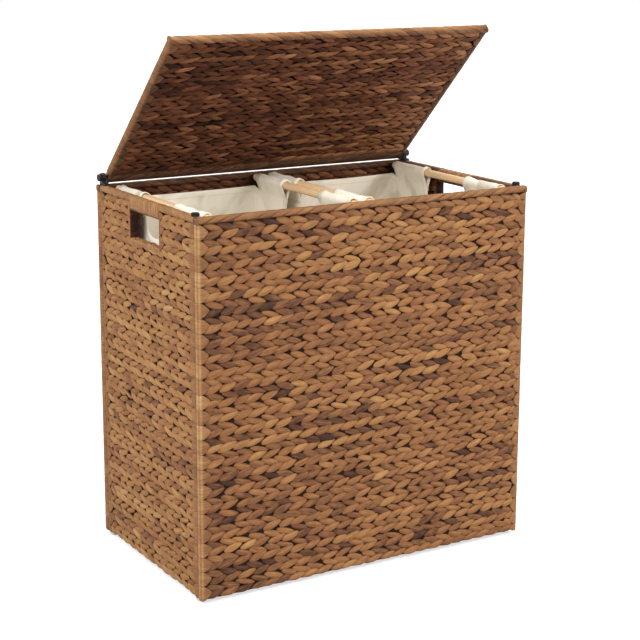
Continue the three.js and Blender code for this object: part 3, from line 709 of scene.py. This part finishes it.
def side_wall(side, x, out_sign, seed):
    """Left or right wall, with its hand opening: jambs, sill, rim beside it and the grip above it."""
    rng = np.random.default_rng(seed)
    outside = Place((x, 0.0, WALL_BASE), (0, 1, 0), (0, 0, 1), (out_sign, 0, 0))
    field = (-SIDE_HALF, SIDE_HALF, 0.0, COURSE, COURSES)
    body, weave = "hamper_body", f"{side}_weave"
    hole_low, hole_high, rim_high = HOLE_LOW - WALL_BASE, HOLE_HIGH - WALL_BASE, RIM - WALL_BASE - 1.2
    near, sill_low, jamb, core_top = SIDE_HALF - 2, hole_low - 4, HOLE_HALF + 3, WEAVE_TOP + CORE_IN_RIM
    patches = [
        ((-near, CORE_FOOT), (near, sill_low)),
        ((-near, sill_low), (-jamb, core_top)),
        ((jamb, sill_low), (near, core_top)),
    ]
    core_sheet(f"{side}_core", outside, patches, CORE_HALF, deep_shade_core_material, body, weave)
    for label, place, material in (
        ("outside", outside, straw_material), ("inside", outside.turned_over(), shaded_straw_material),
    ):
        braided_face(f"{side}_braid_{label}", place, material, body, weave, field, rng, row_span=hole_runs,
                     tone_shift=0.1, lift=4.2, tuck=1.8, deep=5.0, foot=1.0, broad=12.8)
    ends = Strands(outside)
    add_end_columns(ends, field, rng, WALL / 2, end_shift=0.05)
    jambs = Strands(outside)
    # Painted shade: the jambs' turned ends, the opening's sides, are made dark in the shaded straw copy.
    for edge, way, courses in ((HOLE_HALF, -1, (22.5, 23, 24, 25)), (-HOLE_HALF, 1, (22.5, 23.5, 24.5, 25))):
        marks = np.array(courses) * COURSE
        end_turns(jambs, edge, way, (marks[1:] + marks[:-1]) / 2, np.diff(marks), rng, reach=13.0, tone=0.95,
                  end_shift=-0.85, blunt=2.2)
    jambs.build(f"{side}_jamb_turns", body, weave, material=shaded_straw_material)
    sill = arch(hole_low - 8, hole_low - 1.2, WALL / 2 - 1.2, 3.2, tuck=0.8)
    wrapped_edge(ends, sill, -HOLE_HALF - 2, HOLE_HALF + 2, 18.0, 1.6, rng)
    ends.build(f"{side}_end_turns", body, weave)
    rim = Strands(outside)
    section = arch(WEAVE_TOP + 0.5, rim_high, WALL / 2 - 1.6, 3.4, tuck=0.8)
    for low, high in ((-SIDE_HALF, -HOLE_HALF + 2), (HOLE_HALF - 2, SIDE_HALF)):
        wrapped_edge(rim, section, low, high, 22.0, 2.8, rng, inner_shade=-0.5)
    rim.build(f"{side}_rim_roll", body, weave)
    grip = Strands(outside)
    low, half, corner = hole_high + 1.2, WALL / 2 - 0.5, 4.0
    under = [(low + corner - corner * math.sin(a), -(half - corner + corner * math.cos(a)))
             for a in np.linspace(0, math.pi / 2, 4)]
    under += [(v, -n) for v, n in under[::-1]]
    loop = arch(low + corner, rim_high, half, corner, steps=4) + under
    wrapped_edge(grip, loop, -HOLE_HALF - 1, HOLE_HALF + 1, 8.4, 0.12, rng, thick=1.8, inner_shade=-0.4)
    grip.build(f"{side}_grip_strands", body, f"{side}_grip_wrap")


def base_panel(seed):
    """Base: a thin core and braid above and below."""
    rng = np.random.default_rng(seed)
    above = Place((0, 0, (BASE_LOW + BASE_HIGH) / 2), (1, 0, 0), (0, 1, 0), (0, 0, 1))
    half, rows = 265.5, 14
    patch = ((3.5 - half, 2 - SIDE_HALF), (half - 3.5, SIDE_HALF - 2))
    core_sheet("base_core", above, [patch], THIN_CORE_HALF, shade_core_material, "hamper_body", "base_weave")
    field = (-half, half, -SIDE_HALF, 2 * SIDE_HALF / rows, rows)
    for label, place in (("above", above), ("below", above.turned_over())):
        braided_face(f"base_braid_{label}", place, straw_material, "hamper_body", "base_weave", field, rng,
                     lift=2.4, start=8, finish=1)


def lid_panel(seed):
    """Lid: core, braid on top and under, turns at its ends, and rolls along its front and rear."""
    rng = np.random.default_rng(seed)
    c, s = math.cos(LID_OPEN), math.sin(LID_OPEN)
    top = Place((0.0, HINGE_Y, HINGE_Z), (1, 0, 0), (0.0, c, -s), (0.0, s, c))
    low, high, rows = -(LID_REACH - 6.5), -LID_REAR_FRONT, 14
    field = (-LID_HALF, LID_HALF, low, (high - low) / rows, rows)
    half = LID_THICK / 2
    patch = ((-LID_HALF + CORE_IN, low - CORE_IN), (LID_HALF - CORE_IN, high + 8))
    core_sheet("lid_core", top, [patch], THIN_CORE_HALF, deep_shade_core_material, "lid", "lid_weave")
    # Painted shade and light: the underside takes the shaded straw copy and grows lighter towards its right
    # end, where more light reaches it.
    for label, place, material, fade in (
        ("top", top, straw_material, (0.0, 0.0, 0.0)),
        ("under", top.turned_over(), shaded_straw_material, (-0.01, 0.0, 0.22)),
    ):
        braided_face(f"lid_braid_{label}", place, material, "lid", "lid_weave", field, rng,
                     lift=3.8, deep=4.4, bias=-0.6, spread=1.15, broad=11.7, fade=fade)
    ends = Strands(top)
    # Painted shade: the lid's turned ends are darker, as the underside is in shadow.
    add_end_columns(ends, field, rng, half, end_shift=-0.15)
    ends.build("lid_end_turns", "lid", "lid_left_binding", "lid_right_binding")
    front = Strands(Place(top.origin, top.axes[0], -top.axes[1], top.axes[2]))
    section = arch(-low + 0.5, LID_REACH - 1.2, half - 1.4, 2.8, tuck=0.6)
    wrapped_edge(front, section, -LID_HALF + 0.5, LID_HALF - 0.5, 18.0, 2.4, rng, tone=0.58, spread=0.08,
                 inner_shade=-0.35, square=0.75, groove_shade=0.3)
    front.build("lid_front_roll", "lid", "lid_front_binding")
    rear = Strands(top)
    wrapped_edge(rear, rear_section(half), -LID_REAR_HALF + 0.5, LID_REAR_HALF - 0.5, 20.0, 2.0, rng,
                 tone=0.4, spread=0.06, inner_shade=-0.4)
    rear.build("lid_rear_roll", "lid", "lid_rear_binding")


def rear_section(half):
    """Round below and square on top about the hinge rod, as (across, out)."""
    thick = 1.0
    reach, low, front = LID_REAR_BACK - thick, half - thick, -LID_REAR_FRONT + 0.5
    points = [(front, low), (-4.0, low), (reach - 1.5, low), (reach, low - 1.5)]
    for a in np.linspace(0, math.pi / 2, 6)[1:]:
        points.append((reach * math.cos(a), -low * math.sin(a)))
    return points + [(-5.0, -low), (front, -low)]


# Ranges drawn for a bend of the cloth: its depth, wave length, lean and phase
BEND = ((0.5, 1.1), (90, 220), (-0.6, 0.6), (0, 6.3))
# Ranges drawn for a crease: its start along and up the wall, slope, length, width, and its depth
CORNER_CREASE = ((60, 112), (500, 560), (0.2, 1.2), (90, 260), (6, 13)), (1.8, 3.6)
LOOSE_CREASE = ((-80, 80), (120, 480), (-1.3, 1.3), (60, 150), (8, 16)), (1.2, 2.8)


def draw(rng, ranges):
    return [rng.uniform(low, high) for low, high in ranges]


def draw_crease(rng, ranges, depth, start_way=1, slope_way=1):
    start, top, slope, length, width = draw(rng, ranges)
    return start_way * start, top, slope_way * slope, length, width, rng.choice([-1, 1]) * rng.uniform(*depth)


def cloth_bends(rng):
    """Soft bends of one wall, the creases that run down from its upper corners, and a few loose ones."""
    bends = [draw(rng, BEND) for _ in range(5)]
    creases = [draw_crease(rng, *CORNER_CREASE, way, -way) for way in (-1, 1) for _ in range(4)]
    return bends, creases + [draw_crease(rng, *LOOSE_CREASE) for _ in range(4)]


def bend_at(along, high, bends, creases):
    """Outward push of the cloth, in mm, at a place on the wall."""
    push = np.zeros_like(along)
    for size, wave, lean, phase in bends:
        push += size * np.sin(2 * math.pi / wave * (along * math.cos(lean) + high * math.sin(lean)) + phase)
    for start, top, slope, length, width, size in creases:
        down = np.clip((top - high) / length, 0, 1)
        across = (along - start - slope * (top - high)) / math.hypot(1, slope)
        push += size * np.exp(-(across / width) ** 2) * np.sin(math.pi * down) ** 0.7
    return push


def ease(value):
    """Smooth step from 0 to 1."""
    value = np.clip(value, 0, 1)
    return value * value * (3 - 2 * value)


class Bag:
    """Columns of points round one bag. Walls 0 and 2 hang from the dowels, and 1 and 3 are its ends."""

    def __init__(self, seed, rear_end):
        self.seed = seed
        half_places = [SLEEVE_END, SLEEVE_SHORT, 125, 108, 92, 78, 68, 60, CUT_HALF]
        half_places += [52, 48, 42, 35, 28, 18, 9]
        side_places = [-place for place in half_places] + [0] + half_places[::-1]
        columns = []
        for wall in range(4):
            places = np.linspace(-104, 104, 27) if wall % 2 else side_places
            half = (BAG_HALF if wall % 2 else BAG_END) - BAG_CORNER
            columns += [(wall, place, 0.0) for place in (-half, *places, half)]
            columns += [(wall, half, turn) for turn in (0.25, 0.5, 0.75)]
        self.wall, self.place, self.turn = (np.array(values) for values in zip(*columns))
        self.count = len(columns)
        self.outward = np.array([(1, 0), (0, 1), (-1, 0), (0, -1)], float)[self.wall]
        self.forward = np.array([(0, 1), (-1, 0), (0, -1), (1, 0)], float)[self.wall]
        self.end = self.wall % 2 == 1
        self.corner = self.turn > 0
        self.side = ~self.end & ~self.corner
        rearward = self.place * np.where(self.wall == 0, 1, -1)
        past_cut = np.abs(self.place) - CUT_HALF
        self.sleeve_room = np.minimum(past_cut, np.minimum(rear_end - rearward, rearward + SLEEVE_END))
        self.hung = self.side & (self.sleeve_room >= 0)
        self.cut = self.side & (past_cut < 0)
        self.cut_edge = self.side & (past_cut <= 0)

    def heights(self):
        """Heights of the rows, and where each column's finger cut and hem or sleeve seam are."""
        over = np.clip(np.abs(self.place) - (CUT_HALF - CUT_CORNER), 0, CUT_CORNER)
        middle = CUT_LOW + CUT_CORNER - np.where(self.cut_edge, np.sqrt(CUT_CORNER ** 2 - over ** 2), 0.0)
        rise = (BAG_TOP - LEDGE_HIGH) * self.turn
        top = np.select(
            [self.hung | self.cut, self.side, self.corner & ~self.end, self.corner],
            [SEAM_HIGH, LEDGE_HIGH, LEDGE_HIGH + rise, BAG_TOP - rise],
            BAG_TOP - END_SAG * (1 - (self.place / BAG_HALF) ** 2))
        lower = BAG_FOOT + (middle - BAG_FOOT) * np.linspace(0, 1, LOW_ROWS + 1)[:, None]
        upper = middle + (top - middle) * np.linspace(0, 1, HIGH_ROWS + 1)[1:, None]
        return np.concatenate([lower, upper]), middle, top

    def walls(self, high, rng):
        """Points of the walls, and their places along them. Each row is a rectangle whose corners tighten
        towards the dowels, pushed in and out by the cloth's bends."""
        rise = (high - BAG_FOOT) / (BAG_TOP - BAG_FOOT)
        slim = BAG_FOOT_SHARE + (1 - BAG_FOOT_SHARE) * np.minimum(rise, 1)
        radius = BAG_CORNER + 9.0 * (1 - ease(rise * 1.4))
        far = np.where(self.end, BAG_END, BAG_HALF)
        half = np.where(self.end, BAG_HALF, BAG_END)
        at_corner = np.abs(self.place) >= half - BAG_CORNER - 0.01
        along = np.where(at_corner, np.sign(self.place) * (half - radius), self.place)
        angle = self.turn * math.pi / 2
        out_part = np.where(self.corner, far - radius + radius * np.cos(angle), far)
        along = np.where(self.corner, half - radius + radius * np.sin(angle), along)
        ridge = np.exp(-((self.turn - 0.5) / 0.18) ** 2) * 1.6
        facing = self.outward * np.cos(angle)[:, None] + self.forward * np.sin(angle)[:, None]
        flat = self.outward * out_part[..., None] + self.forward * along[..., None]
        push = np.zeros_like(high)
        for wall in range(4):
            push = np.where(self.wall == wall, bend_at(along, high, *cloth_bends(rng)), push)
        from_side = np.where(self.corner, 0.0, ease(np.clip((half - np.abs(along)) / 34, 0, 1)))
        from_top = np.where(self.end, 0.4 + 0.6 * ease((BAG_TOP - high) / 24), ease((SEAM_HIGH - high) / 60))
        slump = -2.5 * np.sin(math.pi * np.clip(rise, 0, 1))
        push = (push + slump) * from_side * from_top * ease((high - BAG_FOOT) / 60)
        room = np.where(self.end, 2.6, 5.0)
        push = np.where(push > 0, room * np.tanh(push / room), push)
        flat = flat + facing * (push - ridge)[..., None]
        return np.concatenate([flat * slim[..., None], high[..., None]], axis=2), along

    def hem_gaps(self, high, middle, top):
        """How far each point of the walls is from the cloth's own edge."""
        gap = np.where(self.cut_edge, middle, top) - high
        above_cut = np.maximum(CUT_LOW + CUT_CORNER - high, 0)
        beside = np.hypot(np.maximum(np.abs(self.place) - CUT_HALF, 0), above_cut)
        return np.minimum(np.where(self.hung, beside, gap), FAR_FROM_HEM)

    def sleeve(self, index, along):
        """One column's loop round its dowel, up from the seam and back down into the hem."""
        place = self.place[index]
        ripple = 0.6 * math.sin(place / 4.7 + self.seed) + 0.4 * math.sin(place / 2.3 + self.wall[index])
        size = SLEEVE_R + ripple + 0.8 * math.exp(-self.sleeve_room[index] / 5)
        drop = DOWEL_Z - SEAM_HIGH
        tangent = math.acos(size / drop)
        arc = -math.pi / 2 + tangent + np.linspace(0, 1, SLEEVE_ROWS - 6) * (2 * math.pi - 2 * tangent)
        bumps = 1 + 0.05 * np.sin(3 * arc + place / 9 + self.seed)
        ring = np.stack([-size * bumps * np.cos(arc), size * bumps * np.sin(arc)], 1)
        start, finish = np.array([0.0, -drop]), np.array([1.6, -drop - 1])
        rise = [start + (ring[0] - start) * step for step in (0.35, 0.7)]
        fall = [ring[-1] + (finish - ring[-1]) * step for step in (0.35, 0.7, 1.0)]
        path = np.array([*rise, *ring, *fall, finish + (0, -6.5)])
        base = self.outward[index] * BAG_HALF + self.forward[index] * along
        return np.concatenate([base + self.outward[index] * path[:, :1], DOWEL_Z + path[:, 1:]], axis=1)

    def floor(self, foot):
        """Rings of the floor, from the middle out to the walls' foot."""
        rings = []
        for inset, sink in FLOOR_RINGS:
            shrunk = np.stack([(BAG_HALF - inset) / BAG_HALF * foot[:, 0],
                               (BAG_END - inset) / BAG_END * foot[:, 1]], 1)
            height = 0.7 if inset > 10 else 0.0
            bumps = height * np.sin(shrunk[:, 0] / 17 + self.seed) * np.sin(shrunk[:, 1] / 23)
            rings.append(np.column_stack([shrunk, np.full(self.count, BAG_FOOT - sink) + bumps]))
        return np.stack(rings)[::-1]

    def faces(self, rows):
        """Faces between the rows, none in the finger cuts or beside the sleeves, and the floor's middle."""
        count = self.count
        first_upper = len(FLOOR_RINGS) + LOW_ROWS
        faces = []
        for row in range(rows - 1):
            for column in range(count):
                after = (column + 1) % count
                in_cut = self.cut[column] or self.cut[after]
                in_sleeve = self.hung[column] and self.hung[after]
                if (row >= first_upper and in_cut) or (row >= first_upper + HIGH_ROWS and not in_sleeve):
                    continue
                low, high = row * count, (row + 1) * count
                faces.append((low + column, low + after, high + after, high + column))
        faces.append(tuple(range(count))[::-1])
        return faces


def canvas_bag(side, centre, seed, rear_end):
    """A sewn tub of canvas that hangs from sleeves round its two dowels, cut out for the fingers."""
    plan = Bag(seed, rear_end)
    high, middle, top = plan.heights()
    grid, along = plan.walls(high, np.random.default_rng(seed))
    floor = plan.floor(grid[0])
    loops = np.full((SLEEVE_ROWS, plan.count, 3), np.nan)
    for index in np.flatnonzero(plan.hung):
        loops[:, index] = plan.sleeve(index, along[-1, index])
    points = np.concatenate([floor, grid, loops])
    gaps = np.concatenate([np.full(floor.shape[:2], FAR_FROM_HEM), plan.hem_gaps(high, middle, top),
                           np.broadcast_to(plan.sleeve_room, loops.shape[:2])])
    lengths = np.linalg.norm(np.diff(points, axis=0), axis=2)
    up = np.concatenate([np.zeros((1, plan.count)), np.cumsum(np.nan_to_num(lengths), axis=0)])
    rim = grid[-1, :, :2]
    round_bag = np.cumsum(np.linalg.norm(np.diff(rim, axis=0, prepend=rim[-1:]), axis=1))
    cloth = np.stack([np.broadcast_to(round_bag, up.shape), up, np.zeros_like(up)], -1)
    bag = thick_cloth(f"{side}_bag_canvas", points.reshape(-1, 3) + (centre, 0, 0), plan.faces(len(points)),
                      gaps.ravel(), cloth.reshape(-1, 3), f"{side}_bag_set", (f"{side}_bag",))


def thick_cloth(name, points, faces, gaps, cloth, body, replaces):
    """Closes a sheet into cloth of real thickness, doubled at its hems."""
    used = np.unique(np.concatenate([np.array(face) for face in faces]))
    number = np.full(len(points), -1)
    number[used] = np.arange(len(used))
    faces = [tuple(int(number[i]) for i in face) for face in faces]
    points, gaps, cloth = points[used], gaps[used], cloth[used]
    normals = np.zeros_like(points)
    quads = np.array([face for face in faces if len(face) == 4])
    cross = np.cross(points[quads[:, 2]] - points[quads[:, 0]], points[quads[:, 3]] - points[quads[:, 1]])
    for corner in range(4):
        np.add.at(normals, quads[:, corner], cross)
    half = (CANVAS_THICK + HEM_EXTRA * ease((HEM_WIDE + 1.5 - gaps) / 3)) / 2
    half = half * np.where(gaps < 0.5, 0.55, 1.0)
    shift = unit(normals) * half[:, None]
    count = len(points)
    inner = [tuple(i + count for i in face[::-1]) for face in faces]
    edges = dict.fromkeys(edge for face in faces for edge in zip(face, face[1:] + face[:1]))
    rim = [(b, a, a + count, b + count) for a, b in edges if (b, a) not in edges]
    return add_object(name, np.concatenate([points + shift, points - shift]) * MM, faces + inner + rim, body,
                      "canvas", canvas_material, replaces,
                      hem=np.concatenate([gaps, gaps]), cloth=np.concatenate([cloth, cloth]))


def light_world():
    """White to look at, and a faintly warm light on the object."""
    world = bpy.data.worlds.new("studio")
    bpy.context.scene.world = world
    world.use_nodes = True
    world.node_tree.nodes.clear()
    s = Nodes(world.node_tree)
    seen = s.node("Background", {"Color": (1, 1, 1, 1), "Strength": 1.0})
    lit = s.node("Background", {"Color": (1.0, 0.985, 0.96, 1), "Strength": 0.5})
    s.show_and_light(seen, lit, s.tree.nodes.new("ShaderNodeOutputWorld").inputs[0])


def add_lamps():
    """Soft square lamps round the hamper."""
    for name, place, energy, size in LAMPS:
        data = bpy.data.lights.new(name, "AREA")
        data.energy, data.size = energy, size
        lamp = bpy.data.objects.new(name, data)
        lamp.location = place
        lamp.rotation_euler = (Vector(LAMP_AIM) - Vector(place)).to_track_quat("-Z", "Y").to_euler()
        bpy.context.scene.collection.objects.link(lamp)


def add_floor():
    """Pale floor that keeps the object's shadow and pales further away from it."""
    reach = 12.0
    mesh = bpy.data.meshes.new("studio_floor")
    corners = [(-reach, -reach, 0), (reach, -reach, 0), (reach, reach, 0), (-reach, reach, 0)]
    mesh.from_pydata(corners, [], [(0, 1, 2, 3)])
    floor = bpy.data.objects.new("studio_floor", mesh)
    bpy.context.scene.collection.objects.link(floor)
    s = Shader("studio_floor", roughness=0.9, specular=0.1)
    s.surface.inputs["Base Color"].default_value = (0.62, 0.62, 0.62, 1)
    away = s.node("VectorMath", {0: s.place()}, "Value", operation="LENGTH")
    limits = {"From Min": 1.0, "From Max": 4.0, "To Min": 0.6, "To Max": 0.95}
    spread = s.node("MapRange", {"Value": away, **limits})
    lit = s.surface.outputs[0]
    seen = s.node("AddShader", {0: lit, 1: s.node("Emission", {"Strength": spread})})
    s.show_and_light(seen, lit, s.tree.nodes["Material Output"].inputs[0])
    mesh.materials.append(s.material)


def dress_nodes():
    """Finishes of the CAD nodes that stay."""
    finishes = {
        "frame": steel_material, "eye": steel_material, "cradle": brown_steel_material,
        "cap": plastic_material, "foot": foot_material, "dowel": wood_material, "bag": canvas_material,
    }
    for name, node in nodes.items():
        found = [material for word, material in finishes.items() if word in name]
        node.data.materials.clear()
        node.data.materials.append(found[0] if found else binding_material)


dress_nodes()
long_wall("front", -(DEPTH - WALL) / 2, -1, RNG_SEED)
long_wall("back", (DEPTH - WALL) / 2, 1, RNG_SEED + 1)
side_wall("left", -(WIDTH - WALL) / 2, -1, RNG_SEED + 2)
side_wall("right", (WIDTH - WALL) / 2, 1, RNG_SEED + 3)
base_panel(RNG_SEED + 4)
lid_panel(RNG_SEED + 5)
canvas_bag("left", -BAG_CENTRE, RNG_SEED + 6, SLEEVE_SHORT)
canvas_bag("right", BAG_CENTRE, RNG_SEED + 7, SLEEVE_END)
light_world()
add_lamps()
add_floor()
bpy.context.scene.view_settings.view_transform = "Standard"
